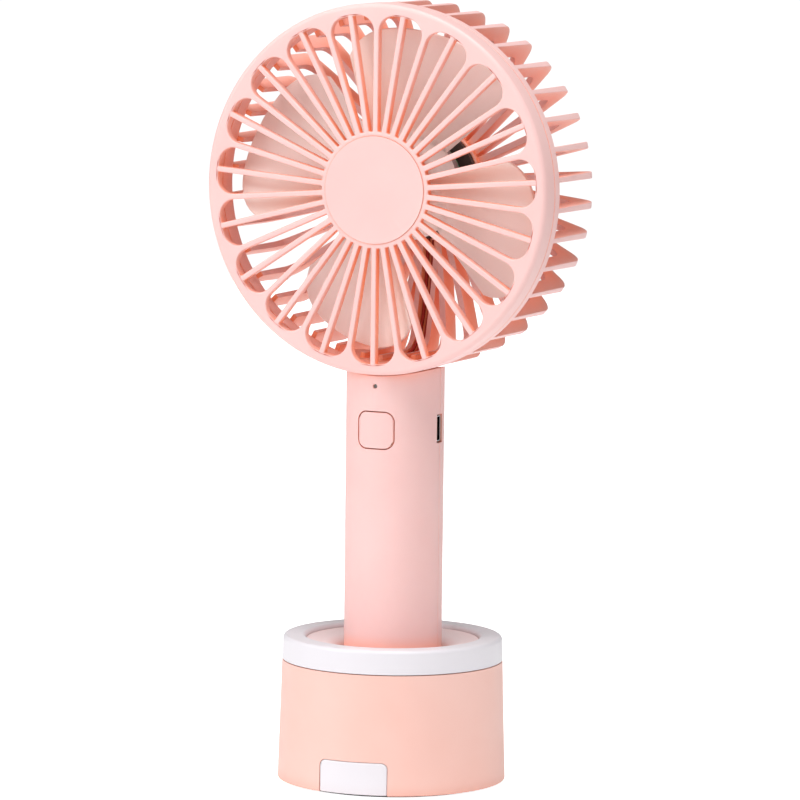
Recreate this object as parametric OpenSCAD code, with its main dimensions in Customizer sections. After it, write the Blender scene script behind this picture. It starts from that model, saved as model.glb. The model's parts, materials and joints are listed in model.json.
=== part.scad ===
// Handheld electric fan standing in a round desk base.
// Origin: centre of the base's underside. +Z is up, the grille faces -Y, the charging socket faces +X.

/* [Head] */
// Outer diameter of the head
head_d = 107; // [104:0.5:110]
// Height of the head's centre above the table
head_z = 173.8; // [172:0.1:178]
// How far the face stands in front of the handle's axis
face_front = 16.3; // [15.8:0.1:18]
// Depth of the removable front cover's rim
cover_depth = 6.7; // [6:0.1:7]
// Depth of the whole rim, front cover and rear shell together
rim_depth = 10.5; // [10:0.1:11.5]
// Distance of the rear hub's back behind the handle's axis
hub_back = 29.5; // [29:0.1:31]

/* [Front grille] */
// Number of petal openings, each split by a thin rib
petals = 19; // [15:2:21]
// Width of the ribs
rib_w = 1.6; // [1.2:0.1:1.8]
// Depth of the ribs
rib_depth = 2.6; // [2:0.1:3]
// Radius at which the openings end
slot_r = 50.3; // [49.5:0.1:50.4]
// Radius of the plain middle of the grille
middle_r = 16.8; // [15.5:0.1:17.5]
// Radius that rounds the outer corners of an opening
petal_corner = 4.6; // [3:0.1:5]

/* [Rear grille] */
// Thickness of a radial fin
fin_t = 1.5; // [1.2:0.1:1.6]
// Depth of a fin across the dome
fin_deep = 7.3; // [6:0.1:8]

/* [Impeller] */
// Number of blades
blades = 4; // [3:1:5]
// Tip radius of the blades
blade_r = 46.5; // [42:0.5:47]
// Angle that one blade covers seen from the front
blade_arc = 66; // [50:1:70]
// Diameter of the impeller's hub
impeller_hub_d = 32; // [31:0.5:33]

/* [Handle] */
// Diameter of the handle
handle_d = 28.6; // [28:0.1:29]
// Wall thickness of the handle shells
handle_wall = 1.6; // [1.4:0.1:1.8]
// Height of the button's centre and of the charging socket
button_z = 104.2; // [103:0.1:105]
// Height of the light hole
light_z = 117; // [116.5:0.1:117.2]

/* [Base] */
// Height of the base
base_h = 42.85; // [42:0.05:44]
// Diameter at the table
base_bottom_d = 66.6; // [65:0.1:68]
// Diameter at the top
base_top_d = 64; // [63:0.1:64.5]
// Height of the white trim ring
ring_h = 7; // [6.5:0.1:7.5]
// Inner diameter of the trim ring
ring_bore_d = 50.6; // [50:0.1:52]
// How far the round base is turned about the handle
base_turn = 4.4; // [0:0.1:10]

/* [Hidden] */
$fn = 72;

shell_pink = [0.96, 0.76, 0.74];
blade_pink = [0.93, 0.80, 0.77];
sleeve_peach = [0.96, 0.77, 0.71];
trim_white = [0.93, 0.92, 0.94];
board_green = [0.10, 0.35, 0.22];
steel = [0.62, 0.63, 0.65];
copper = [0.78, 0.42, 0.22];
brass = [0.80, 0.65, 0.35];
dark = [0.12, 0.12, 0.13];

gap = 0.3;                                  // between pieces that move past each other
snug = 0.1;                                 // between pieces that are fixed together

head_r = head_d / 2;
face_y = -face_front;
seam_y = face_y + cover_depth;
rim_y = face_y + rim_depth;
rim_wall = 3;
rim_in = head_r - rim_wall;
lip_out = head_r - 1.6;                     // outer radius of the rear shell's lip
lip_len = 2.7;
seam_gap = 0.25;
ring_front = seam_y + seam_gap;             // front of the rear shell's rim
slots = 2 * petals;
pitch = 360 / slots;

fin_r = head_r - 0.1;
fin_corner_r = 6;
fin_corner_y = 17;
fin_root_r = 48.7;
dome_r = 165;
hub_r = 17;
hub_plate = 3;
hub_bore = 11.5;
motor_seat_y = 20.5;
strut_w = 6.4;
groove_w = 3.4;
groove_deep = 3.4;

blade_corner = 7;
impeller_y = face_y + rib_depth + 1.5;      // front of the impeller
hub_len = 19;
shaft_r = 1;
cup_out = 14;
screw_ring = 14;
screw_angles = [30, 150, 270];
post_angles = [0, 120, 240];

handle_r = handle_d / 2;
tube_r = handle_r - handle_wall;
handle_bottom = 7.3;
cap_t = 2;
shell_z = handle_bottom + cap_t + snug;
saddle_r = head_r + 0.25;                   // the handle ends on this cylinder round the head's axis
board_front = -2.9;
board_back = -1.3;
board_bottom = 87.6;
board_top = 119.3;
board_half = 11.2;
low_screw_z = 84;
neck_screw_z = 115.2;
post_z = 92;
post_x = 8;

base_low = 0.8;
sleeve_top = base_h - ring_h - 0.25;
sleeve_wall = 2.2;
ring_in = ring_bore_d / 2;
ring_round = 1.2;
skirt_in = 27.4;                            // the trim ring's skirt inside the sleeve
shelf_in = 23.6;                            // the trim ring's shelf under the dished seat
socket_r = handle_r + 0.35;
socket_wall = 1.6;
socket_floor = 7;
boss_ring = 28.2;
boss_angles = [90, 210, 330];
tab_w = 20.6;
tab_h = 9.4;
pad_t = 1.2;

function base_r(z) = base_bottom_d / 2 - (base_bottom_d - base_top_d) / 2 * z / base_h;
function dome(r) = hub_back - dome_r + sqrt(dome_r * dome_r - r * r) + hub_r * hub_r / 2 / dome_r;
function arc(x, y, r, a0, a1, n) =
    [for (i = [0 : n]) let (a = a0 + (a1 - a0) * i / n) [x + r * cos(a), y + r * sin(a)]];

// A shape drawn about Z is laid along +Y on the head's axis
module along_y(y) {
    translate([0, y, head_z]) rotate([-90, 0, 0]) children();
}

// A shape drawn about Z is laid along +Y at height z on the handle
module across(x, y, z) {
    translate([x, y, z]) rotate([-90, 0, 0]) children();
}

module ring(r_in, r_out, h) {
    difference() {
        cylinder(r = r_out, h = h);
        translate([0, 0, -1]) cylinder(r = r_in, h = h + 2);
    }
}

module round_plate(w, h, r) {
    square([w - 2 * r, h], center = true);
    square([w, h - 2 * r], center = true);
    for (sx = [-1, 1], sy = [-1, 1]) translate([sx * (w / 2 - r), sy * (h / 2 - r)]) circle(r = r);
}

module wire(points, r) {
    for (i = [0 : len(points) - 2]) {
        a = points[i];
        b = points[i + 1];
        d = b - a;
        translate(a) rotate([0, acos(d[2] / norm(d)), atan2(d[1], d[0])])
            cylinder(r = r, h = norm(d), $fn = 24);
    }
    for (i = [1 : len(points) - 2]) translate(points[i]) sphere(r = r + 0.04, $fn = 24);
}

module base_frame() {
    rotate([0, 0, base_turn]) children();
}

// ---------------------------------------------------------------- base

module tab_outline(w, h) {
    translate([-w / 2, 0]) square([w, h - 1.8]);
    translate([-w / 2 + 1.8, 0]) square([w - 3.6, h]);
    for (s = [-1, 1]) translate([s * (w / 2 - 1.8), h - 1.8]) circle(r = 1.8);
}

module base_sleeve() {
    color(sleeve_peach) base_frame() difference() {
        union() {
            rotate_extrude() polygon([
                [base_r(base_low) - sleeve_wall, base_low], [base_r(base_low), base_low],
                [base_r(sleeve_top), sleeve_top], [base_r(sleeve_top) - sleeve_wall, sleeve_top]]);
            for (a = boss_angles) rotate([0, 0, a]) translate([boss_ring, 0, 3.6]) cylinder(r = 2.6, h = 12);
        }
        for (a = boss_angles) rotate([0, 0, a]) translate([boss_ring, 0, 3]) cylinder(r = 1, h = 10);
        translate([0, -25, base_low - 0.01]) rotate([90, 0, 0])
            linear_extrude(15) tab_outline(tab_w + 2 * snug, tab_h + snug + 0.1);
    }
}

module base_trim_ring() {
    r_low = base_r(base_h - ring_h);
    r_top = base_r(base_h);
    color(trim_white) rotate_extrude() {
        polygon([[ring_in, base_h - ring_h], [r_low, base_h - ring_h],
            [r_top, base_h - ring_round], [ring_in, base_h - ring_round]]);
        translate([ring_in + ring_round, base_h - 2 * ring_round])
            square([r_top - ring_in - 2 * ring_round, 2 * ring_round]);
        for (r = [ring_in + ring_round, r_top - ring_round])
            translate([r, base_h - ring_round]) circle(r = ring_round);
        translate([skirt_in, base_h - ring_h - 3.4])
            square([base_r(sleeve_top) - sleeve_wall - snug - skirt_in, 3.6]);
        translate([shelf_in, base_h - 5]) square([ring_in - shelf_in + 0.2, 1.9]);
    }
}

// The dished seat and the socket that holds the handle
module base_cup() {
    lip = base_h - 1.25;
    color(shell_pink) rotate_extrude() difference() {
        polygon(concat(
            [[0, socket_floor - socket_wall], [socket_r + socket_wall, socket_floor - socket_wall],
             [socket_r + socket_wall, lip - 6.2], [20.5, lip - 1.7], [ring_in - 0.15, lip - 1.7],
             [ring_in - 0.15, lip]],
            arc(20.4, lip - 6.6, 5.75, 84, 180, 8),
            [[socket_r, lip - 8], [socket_r, socket_floor], [0, socket_floor]]));
    }
}

module base_front_tab() {
    color(trim_white) base_frame() intersection() {
        translate([0, -25, base_low + 0.1]) rotate([90, 0, 0]) linear_extrude(15) tab_outline(tab_w, tab_h);
        difference() {
            cylinder(r = base_r(base_low) - 0.12, h = 20);
            translate([0, 0, -1]) cylinder(r = base_r(base_low) - 2.3, h = 22);
        }
    }
}

module ballast_weight() {
    color(steel) translate([0, 0, 3.5]) ring(17.2, 25.2, 14.4);
}

module base_bottom_plate() {
    color(trim_white) base_frame() difference() {
        translate([0, 0, pad_t]) cylinder(r = base_r(base_low) - sleeve_wall - 0.3, h = 2.2);
        for (a = boss_angles) rotate([0, 0, a]) translate([boss_ring, 0, 0]) {
            cylinder(r = 1.4, h = 5);
            cylinder(r = 2.3, h = pad_t + 1.2);
        }
    }
}

module base_screws() {
    color(steel) base_frame() for (a = boss_angles) rotate([0, 0, a]) translate([boss_ring, 0, pad_t + 0.1]) {
        cylinder(r = 2.1, h = 1);
        cylinder(r = 0.98, h = 9.5);
    }
}

module foot_pad() {
    color(dark) cylinder(r = 30, h = pad_t);
}

// -------------------------------------------------------------- handle

module button_prism(w, h, r) {
    across(0, -handle_r - 2, button_z) linear_extrude(handle_r) round_plate(w, h, r);
}

module head_clearance() {
    along_y(-40) cylinder(r = saddle_r, h = 80);
}

// One half of the handle tube with its battery cradle ribs; side is -1 for the front and 1 for the rear
module handle_half(side) {
    difference() {
        union() {
            translate([0, 0, shell_z]) difference() {
                cylinder(r = handle_r, h = 120);
                translate([0, 0, -1]) cylinder(r = tube_r, h = 122);
            }
            for (z = [26, 66]) translate([0, 0, z]) ring(9.35, tube_r + 0.2, 1.2);
        }
        translate([9, -0.9, shell_z]) cube([tube_r - 9.2, 1.8, 60]);
        translate([-20, side > 0 ? -40 + 0.05 : -0.05, 0]) cube([40, 40, 200]);
        head_clearance();
        translate([10, -1.75, button_z - 4.15]) cube([8, 3.5, 8.3]);
    }
}

module handle_front_shell() {
    color(shell_pink) difference() {
        union() {
            handle_half(-1);
            across(0, -tube_r - 0.4, low_screw_z) cylinder(r = 2.6, h = tube_r + 1.5, $fn = 36);
            for (x = [-post_x, post_x]) across(x, -sqrt(tube_r * tube_r - x * x) - 0.4, post_z)
                cylinder(r = 1.6, h = sqrt(tube_r * tube_r - x * x) + 0.4 + board_front - 0.05, $fn = 36);
            across(0, -tube_r - 0.4, light_z) cylinder(r = 2.1, h = 4.2, $fn = 36);
        }
        button_prism(11 + 2 * gap, 10.5 + 2 * gap, 2.7 + gap);
        across(0, -handle_r - 1, light_z) cylinder(r = 0.66, h = 6, $fn = 36);
        across(0, -tube_r, light_z) cylinder(r = 1.25, h = 6, $fn = 36);
        across(0, -8, low_screw_z) cylinder(r = 0.85, h = 12, $fn = 36);
    }
}

module handle_rear_shell() {
    color(shell_pink) difference() {
        union() {
            handle_half(1);
            across(0, 1.3, low_screw_z) cylinder(r = 2.6, h = tube_r - 0.9, $fn = 36);
            for (x = [-post_x, post_x]) across(x, board_back + 0.05, post_z)
                cylinder(r = 1.6, h = sqrt(tube_r * tube_r - x * x) + 0.4 - board_back, $fn = 36);
        }
        for (z = [low_screw_z, neck_screw_z]) {
            across(0, 0, z) cylinder(r = 1.15, h = 20, $fn = 36);
            across(0, handle_r - 0.9, z) cylinder(r = 2.1, h = 5, $fn = 36);
        }
    }
}

module handle_bottom_cap() {
    color(shell_pink) {
        translate([0, 0, handle_bottom]) cylinder(r = handle_r, h = cap_t);
        translate([0, 0, handle_bottom + cap_t]) ring(10.4, tube_r - snug, 3.4);
    }
}

module handle_screws() {
    color(steel) for (s = [[low_screw_z, 14], [neck_screw_z, 3.6]]) {
        across(0, handle_r - 0.85, s[0]) cylinder(r = 1.9, h = 0.7, $fn = 36);
        across(0, handle_r - 0.85 - s[1], s[0]) cylinder(r = 0.83, h = s[1] + 0.1, $fn = 36);
    }
}

module light_pipe() {
    color([0.95, 0.95, 0.9]) {
        across(0, -tube_r + 0.15, light_z) cylinder(r = 1.15, h = tube_r + board_front - 1.05, $fn = 36);
        across(0, -handle_r + 0.5, light_z) cylinder(r = 0.58, h = 2, $fn = 36);
    }
}

module circuit_board() {
    color(board_green) difference() {
        translate([-board_half, board_front, board_bottom])
            cube([2 * board_half, board_back - board_front, board_top - board_bottom]);
        for (x = [-1, 1]) across(x * 0.9, board_front - 1, 107) cylinder(r = 0.35, h = 4, $fn = 24);
    }
}

module board_chips() {
    color(dark) for (c = [[-6, 112, 4, 4], [-5.5, 100, 5, 6], [2, 97, 3, 3]])
        translate([c[0] - c[2] / 2, board_back, c[1] - c[3] / 2]) cube([c[2], 1.2, c[3]]);
}

module indicator_led() {
    color([0.95, 0.95, 0.85]) translate([-0.8, board_front - 0.8, light_z - 0.6]) cube([1.6, 0.8, 1.2]);
}

module tact_switch() {
    color(dark) difference() {
        translate([-3, board_front - 3.5, button_z - 3]) cube([6, 3.5, 6]);
        across(0, board_front - 5, button_z) cylinder(r = 2, h = 3.3, $fn = 36);
    }
}

module usb_socket() {
    color(steel) difference() {
        translate([8.4, board_back, button_z - 3.75]) cube([5.4, 2.6, 7.5]);
        translate([9, board_back + 0.35, button_z - 3.4]) cube([6, 1.9, 6.8]);
    }
    color(dark) translate([8.9, -0.3, button_z - 2.6]) cube([4, 0.6, 5.2]);
}

module battery_cell() {
    color([0.25, 0.45, 0.62]) {
        translate([0, 0, 13.6]) cylinder(r = 9.2, h = 64);
        translate([0, 0, 77.5]) cylinder(r = 3, h = 1);
    }
}

module battery_tabs() {
    color(steel) {
        translate([-3, -2.5, 78.5]) cube([9, 5, 0.3]);
        translate([-3, -2.5, 13.2]) cube([13.3, 5, 0.35]);
        translate([10, -2.5, 13.2]) cube([0.3, 5, 12]);
    }
}

module battery_leads() {
    color([0.75, 0.12, 0.10]) wire([[5, 0, 79.4], [5.6, -0.2, 83], [5.2, -0.65, 90]], 0.6);
    color(dark) wire([[10.95, 0, 20], [10.95, 0, 82], [7.6, -0.6, 87], [7.4, -0.65, 90]], 0.6);
}

module motor_leads() {
    for (x = [-0.9, 0.9]) color(x > 0 ? [0.75, 0.12, 0.10] : dark)
        wire(concat([[x, -0.7, 107], [x, -0.6, 108.2], [x, 6.9, 110], [x, 7.2, 122]],
            [for (p = [[50.2, 9], [48.9, 13.4], [45.3, 18.6], [38, 21.2], [28, 23], [18, 23.9], [9.6, 24]])
                [x, p[1], head_z - p[0]]],
            [[x, 16.5, head_z - 9.6]]), 0.55);
}

// ---------------------------------------------------------------- head

// Side outline of a fin: x is the distance from the head's axis, y the place along the axis
module fin_outline(deep) {
    polygon(concat(
        [[fin_root_r, rim_y + 0.2], [rim_in + 0.4, rim_y + 0.2],
            [rim_in + 0.4, rim_y - 1.3], [fin_r, rim_y - 1.3]],
        arc(fin_r - fin_corner_r, fin_corner_y, fin_corner_r, 0, 70, 7),
        [for (r = [46 : -5 : 16]) [r, dome(r) - 0.15]],
        [for (r = [16 : 5 : 41]) [r, dome(r) - deep]],
        arc(fin_root_r - 6, 11.3, 6, 70, 0, 5)));
}

module fin(t, deep) {
    translate([0, t / 2, 0]) rotate([90, 0, 0]) linear_extrude(t) fin_outline(deep);
}

// Grooved strut at six o'clock, which carries the motor's wires up from the handle
module wire_strut() {
    rotate([0, 0, 90]) difference() {
        fin(strut_w, fin_deep);
        translate([0, groove_w / 2, 0]) rotate([90, 0, 0]) linear_extrude(groove_w)
            polygon(concat([[40, rim_y - 1], [rim_in + 0.9, rim_y - 1]],
                arc(fin_root_r - 6, 11.3, 9, 0, 62, 5),
                [for (r = [41 : -5 : 6]) [r, dome(r) - fin_deep + groove_deep]],
                [[6, 10], [40, 10]]));
    }
}

module rear_grille() {
    color(shell_pink) difference() {
        union() {
            along_y(0) {
                for (i = [1 : slots - 1]) rotate([0, 0, 90 + i * pitch]) fin(fin_t, fin_deep);
                wire_strut();
                rotate_extrude() polygon([[0, hub_back], [hub_r, hub_back], [hub_r, motor_seat_y],
                    [hub_bore, motor_seat_y], [hub_bore, hub_back - hub_plate], [0, hub_back - hub_plate]]);
                rotate_extrude() polygon([[rim_in, ring_front - lip_len], [lip_out, ring_front - lip_len],
                    [lip_out, ring_front], [head_r, ring_front], [head_r, rim_y], [rim_in, rim_y]]);
            }
            neck();
        }
        across(0, 8, neck_screw_z) cylinder(r = 0.85, h = 10, $fn = 36);
        translate([-groove_w / 2 - 0.1, 5.2, 105]) cube([groove_w + 0.2, 3.8, 20.5]);
        translate([-groove_w / 2 - 0.05, 5.6, 121.6]) cube([groove_w + 0.1, 7.2, 4.1]);
        for (a = screw_angles) along_y(motor_seat_y - 1) rotate([0, 0, a])
            translate([screw_ring, 0, 0]) cylinder(r = 0.8, h = 6, $fn = 24);
        along_y(dome(hub_r) - fin_deep - 3) rotate([0, 0, 90]) translate([8, -groove_w / 2 - 0.05, 0])
            cube([9.6, groove_w + 0.1, 3 + groove_deep - 0.1]);
    }
}

// Saddle that closes the handle's top, with a tongue that reaches into the handle
module neck() {
    intersection() {
        translate([0, 0, 100]) cylinder(r = handle_r, h = 40);
        along_y(rim_y - 1) ring(fin_root_r + 1.6, fin_r - 0.15, 40);
    }
    intersection() {
        translate([0, 0, 100]) cylinder(r = tube_r - 0.15, h = 40);
        translate([-7.5, 3, 111.5]) cube([15, 12, 11]);
    }
}

module motor_base() {
    color(dark) difference() {
        union() {
            along_y(motor_seat_y - 2) cylinder(r = 16.4, h = 1.95);
            for (a = post_angles) along_y(16.35) rotate([0, 0, a])
                translate([12, 0, 0]) cylinder(r = 1, h = 3, $fn = 24);
        }
        along_y(15) cylinder(r = 3.42, h = 10);
        for (a = screw_angles) along_y(15) rotate([0, 0, a]) translate([screw_ring, 0, 0])
            cylinder(r = 1.1, h = 10, $fn = 24);
        along_y(15) rotate([0, 0, 90]) translate([7.6, -groove_w / 2, 0]) cube([4, groove_w, 10]);
    }
}

module motor_screws() {
    color(steel) for (a = screw_angles) along_y(motor_seat_y - 3.1) rotate([0, 0, a])
        translate([screw_ring, 0, 0]) {
            cylinder(r = 1.7, h = 1.05, $fn = 36);
            cylinder(r = 0.78, h = 6.5, $fn = 36);
        }
}

module bearing_tube() {
    color(brass) along_y(3.2) ring(2.4, 3.4, 17.2);
}

module shaft_bearing() {
    color([0.55, 0.42, 0.28]) along_y(3.4) ring(shaft_r + 0.03, 2.38, 13.2);
}

module stator_core() {
    teeth = 9;
    color(steel) along_y(5.5) linear_extrude(7) difference() {
        union() {
            circle(r = 6);
            for (i = [0 : teeth - 1]) rotate([0, 0, i * 360 / teeth]) {
                translate([5, -0.8]) square([6, 1.6]);
                intersection() {
                    circle(r = 11.6);
                    translate([10.2, -3]) square([4, 6]);
                }
            }
        }
        circle(r = 3.42);
    }
}

module stator_coils() {
    teeth = 9;
    color(copper) along_y(4.6) for (i = [0 : teeth - 1]) rotate([0, 0, i * 360 / teeth]) difference() {
        translate([7.2, -1.75, 0]) cube([2.9, 3.5, 8.8]);
        translate([7, -0.82, 0.88]) cube([4, 1.64, 7.04]);
    }
}

module driver_board() {
    color(board_green) along_y(15) ring(4.6, 13.3, 1.35);
}

// -------------------------------------------------------------- moving

// Tip radius along the blade, smaller near both ends so that the corners are round
function tip_r(t) = blade_r - blade_corner * pow(abs(2 * t - 1), 5);

// Across the blade at one turn: root and tip corners, half a thickness to each side
function blade_row(t, len) =
    let (a = blade_arc * t, tip = tip_r(t))
    [for (c = [[15.2, -0.8], [tip, -1.8], [tip, 1.8], [15.2, 0.8]])
        [c[0] * cos(a) - c[1] * sin(a), c[0] * sin(a) + c[1] * cos(a), len * t]];

// One broad helical blade that starts along +X at the front and runs back clockwise
module blade(len) {
    rows = 14;
    polyhedron(
        points = [for (i = [0 : rows]) each blade_row(i / rows, len)],
        faces = concat([[0, 1, 2], [0, 2, 3]],
            [for (i = [0 : rows - 1], k = [0 : 3]) let (a = 4 * i + k, b = 4 * i + (k + 1) % 4)
                each [[a, a + 4, b + 4], [a, b + 4, b]]],
            [[4 * rows, 4 * rows + 2, 4 * rows + 1], [4 * rows, 4 * rows + 3, 4 * rows + 2]]));
}

module impeller() {
    hub = impeller_hub_d / 2;
    color(blade_pink) along_y(impeller_y) difference() {
        union() {
            cylinder(r = hub - 1.2, h = 2);
            translate([0, 0, 1.2]) cylinder(r = hub, h = hub_len - 1.2);
            rotate_extrude() translate([hub - 1.2, 1.2]) circle(r = 1.2);
            for (i = [0 : blades - 1]) rotate([0, 0, 165 + i * 360 / blades]) blade(hub_len - 0.4);
        }
        difference() {
            translate([0, 0, 1.8]) cylinder(r = 13.6, h = 30);
            cylinder(r = 3, h = 13.2 - 0.8);
        }
        translate([0, 0, 13.4]) cylinder(r = cup_out + 0.03, h = 30);
        translate([0, 0, 1.3]) cylinder(r = shaft_r + 0.02, h = 20);
    }
}

module rotor_cup() {
    color(steel) difference() {
        union() {
            along_y(1.4) cylinder(r = cup_out, h = 12.8);
            along_y(0.4) cylinder(r = 2.6, h = 1.5);
        }
        along_y(2.4) cylinder(r = cup_out - 0.9, h = 20);
        along_y(-5) cylinder(r = shaft_r + 0.02, h = 20);
    }
}

module rotor_magnet() {
    color(dark) along_y(3.2) ring(12.1, 13.08, 10.4);
}

module motor_shaft() {
    color(steel) along_y(impeller_y + 1.4) cylinder(r = shaft_r, h = 17.7 - impeller_y - 1.4);
}

module retaining_clip() {
    color(steel) along_y(16.85) ring(shaft_r + 0.02, 2, 0.6);
}

module power_button() {
    color(shell_pink) {
        intersection() {
            button_prism(11, 10.5, 2.7);
            translate([0, 0, 90]) ring(tube_r - 0.9, handle_r, 30);
        }
        intersection() {
            button_prism(13.4, 12.9, 2.7);
            translate([0, 0, 90]) ring(tube_r - 1.6, tube_r - 0.4, 30);
        }
        across(0, -tube_r + 0.8, button_z) cylinder(r = 1.5, h = tube_r - 0.8 + board_front - 4.5, $fn = 36);
    }
}

module switch_plunger() {
    color([0.85, 0.85, 0.82]) across(0, board_front - 4.5, button_z) cylinder(r = 1.7, h = 2.2, $fn = 36);
}

// One opening: a wedge with rounded outer corners, pointing along +X
module petal() {
    half = pitch;
    corner_at = slot_r - petal_corner;
    turn = half - asin((petal_corner + rib_w / 2) / corner_at);
    foot = corner_at * cos(half - turn);
    start = middle_r / cos(half);
    side = rib_w / 2;
    function edge(r, s) = [r * cos(half) + side * sin(half), s * (r * sin(half) - side * cos(half))];
    polygon([edge(start, -1), edge(foot, -1), corner_at * [cos(turn), -sin(turn)],
        corner_at * [cos(turn), sin(turn)], edge(foot, 1), edge(start, 1)]);
    for (s = [-1, 1]) translate(corner_at * [cos(turn), s * sin(turn)]) circle(r = petal_corner);
    intersection() {
        circle(r = slot_r);
        polygon([[0, 0], 60 * [cos(turn), -sin(turn)], 60 * [cos(turn), sin(turn)]]);
        translate([30, -20]) square([40, 40]);
    }
}

module front_grille() {
    edge = 1.4;
    color(shell_pink) along_y(face_y) {
        difference() {
            rotate_extrude() {
                square([head_r - edge, rib_depth]);
                translate([head_r - edge, edge]) circle(r = edge);
                translate([rim_in, edge]) square([rim_wall, cover_depth - edge]);
            }
            for (i = [0 : petals - 1]) rotate([0, 0, 90 + i * 2 * pitch])
                translate([0, 0, -1]) linear_extrude(rib_depth + 2) petal();
            translate([0, 0, cover_depth - lip_len - 0.1]) cylinder(r = lip_out + 0.25, h = 10);
            translate([0, 0, -1]) cylinder(r = 15.6, h = 2);
        }
        for (i = [0 : petals - 1]) rotate([0, 0, 90 + i * 2 * pitch])
            translate([middle_r - 0.5, -rib_w / 2, 0]) cube([slot_r - middle_r + 0.8, rib_w, rib_depth]);
    }
}

module centre_cap() {
    color(shell_pink) along_y(face_y - 0.3) {
        cylinder(r1 = 15.1, r2 = 15.5, h = 0.4);
        translate([0, 0, 0.4]) cylinder(r = 15.5, h = 0.85);
    }
}

base_sleeve();
base_trim_ring();
base_cup();
base_front_tab();
ballast_weight();
base_bottom_plate();
base_screws();
foot_pad();
handle_front_shell();
handle_rear_shell();
handle_bottom_cap();
handle_screws();
light_pipe();
circuit_board();
board_chips();
indicator_led();
tact_switch();
usb_socket();
battery_cell();
battery_tabs();
battery_leads();
motor_leads();
rear_grille();
motor_base();
motor_screws();
bearing_tube();
shaft_bearing();
stator_core();
stator_coils();
driver_board();
impeller();
rotor_cup();
rotor_magnet();
motor_shaft();
retaining_clip();
power_button();
switch_plunger();
front_grille();
centre_cap();
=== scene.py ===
# Looks of the handheld electric fan in its desk base.
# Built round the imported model: metres, +Z up, the grille faces -Y, the charging socket faces +X.
import json
import math

import bmesh
import bpy
from mathutils import Matrix, Vector

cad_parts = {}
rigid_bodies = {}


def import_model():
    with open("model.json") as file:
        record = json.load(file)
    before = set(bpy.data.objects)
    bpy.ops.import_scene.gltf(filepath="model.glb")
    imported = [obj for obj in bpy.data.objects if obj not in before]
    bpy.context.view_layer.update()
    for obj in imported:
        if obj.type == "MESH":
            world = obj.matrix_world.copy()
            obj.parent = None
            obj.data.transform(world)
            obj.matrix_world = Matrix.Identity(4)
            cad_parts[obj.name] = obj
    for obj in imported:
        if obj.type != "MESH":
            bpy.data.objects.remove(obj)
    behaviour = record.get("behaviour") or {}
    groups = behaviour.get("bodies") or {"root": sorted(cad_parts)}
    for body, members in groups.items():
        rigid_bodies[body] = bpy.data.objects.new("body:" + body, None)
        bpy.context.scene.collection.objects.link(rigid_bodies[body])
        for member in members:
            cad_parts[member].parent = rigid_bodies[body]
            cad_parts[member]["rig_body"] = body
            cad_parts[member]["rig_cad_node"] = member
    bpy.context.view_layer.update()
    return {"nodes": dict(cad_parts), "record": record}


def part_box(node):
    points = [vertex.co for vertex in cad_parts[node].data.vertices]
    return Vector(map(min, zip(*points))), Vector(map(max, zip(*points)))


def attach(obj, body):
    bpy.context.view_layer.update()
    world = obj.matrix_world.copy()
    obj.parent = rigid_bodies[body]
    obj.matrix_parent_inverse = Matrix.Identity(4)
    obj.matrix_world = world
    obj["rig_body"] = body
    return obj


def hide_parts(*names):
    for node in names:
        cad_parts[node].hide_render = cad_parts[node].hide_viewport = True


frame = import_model()
nodes = frame["nodes"]
mm = 0.001
weld = 0.002 * mm       # points closer than this are merged
slack = 0.03 * mm       # how far a measured length may be off and still count as equal
sharp_edge = 38         # degrees between two faces from which their edge is rounded

# ------------------------------------------------------------------ sizes from the frame

cover_low, cover_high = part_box("front_grille")
rear_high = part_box("rear_grille")[1]
impeller_low, impeller_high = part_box("impeller")
handle_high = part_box("handle_front_shell")[1]
cap_low, cap_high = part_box("handle_bottom_cap")
sleeve_low, sleeve_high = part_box("base_sleeve")
ring_low, ring_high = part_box("base_trim_ring")
plate_low, plate_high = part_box("base_bottom_plate")
pad_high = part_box("foot_pad")[1]
tab_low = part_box("base_front_tab")[0]
centre_low, centre_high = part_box("centre_cap")

head_r = (cover_high.x - cover_low.x) / 2
head_z = (cover_high.z + cover_low.z) / 2
face_y = cover_low.y
seam_y = cover_high.y
cover_depth = seam_y - face_y
rim_y = face_y + 10.5 * mm
hub_back_y = rear_high.y
handle_r = handle_high.x
base_h = ring_high.z
centre_r = (centre_high.x - centre_low.x) / 2

petals = 19
slots = 2 * petals
pitch = math.tau / slots
round_steps = 6 * slots
rib_w = 1.6 * mm
rib_depth = 2.6 * mm
slot_r = 50.3 * mm
middle_r = 16.8 * mm
petal_corner = 4.6 * mm
rim_in = head_r - 3 * mm
recess_r = centre_r + 0.05 * mm
lip_out = head_r - 1.6 * mm
seam_gap = 0.25 * mm


# ------------------------------------------------------------------ modelling moves

def deselect():
    for obj in list(bpy.context.selected_objects):
        obj.select_set(False)


def pick(obj):
    deselect()
    obj.select_set(True)
    bpy.context.view_layer.objects.active = obj


def open_edit(obj):
    pick(obj)
    bpy.ops.object.mode_set(mode="EDIT")
    bpy.ops.mesh.select_mode(type="VERT")
    bpy.ops.mesh.select_all(action="SELECT")


def close_edit():
    bpy.ops.object.mode_set(mode="OBJECT")


def choose(obj, kind, test):
    """In edit mode, selects the vertices, edges or faces that pass a test."""
    bpy.ops.mesh.select_mode(type={"verts": "VERT", "edges": "EDGE", "faces": "FACE"}[kind])
    bpy.ops.mesh.select_all(action="DESELECT")
    mesh = bmesh.from_edit_mesh(obj.data)
    for element in getattr(mesh, kind):
        if test(element):
            element.select_set(True)
    mesh.select_flush_mode()
    bmesh.update_edit_mesh(obj.data)


def settle(obj):
    """Puts the object's own place and turn into its mesh."""
    pick(obj)
    bpy.ops.object.transform_apply(location=True, rotation=True, scale=True)
    return obj


def named(name):
    obj = bpy.context.object
    obj.name = name
    obj.data.name = name
    return obj


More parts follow.
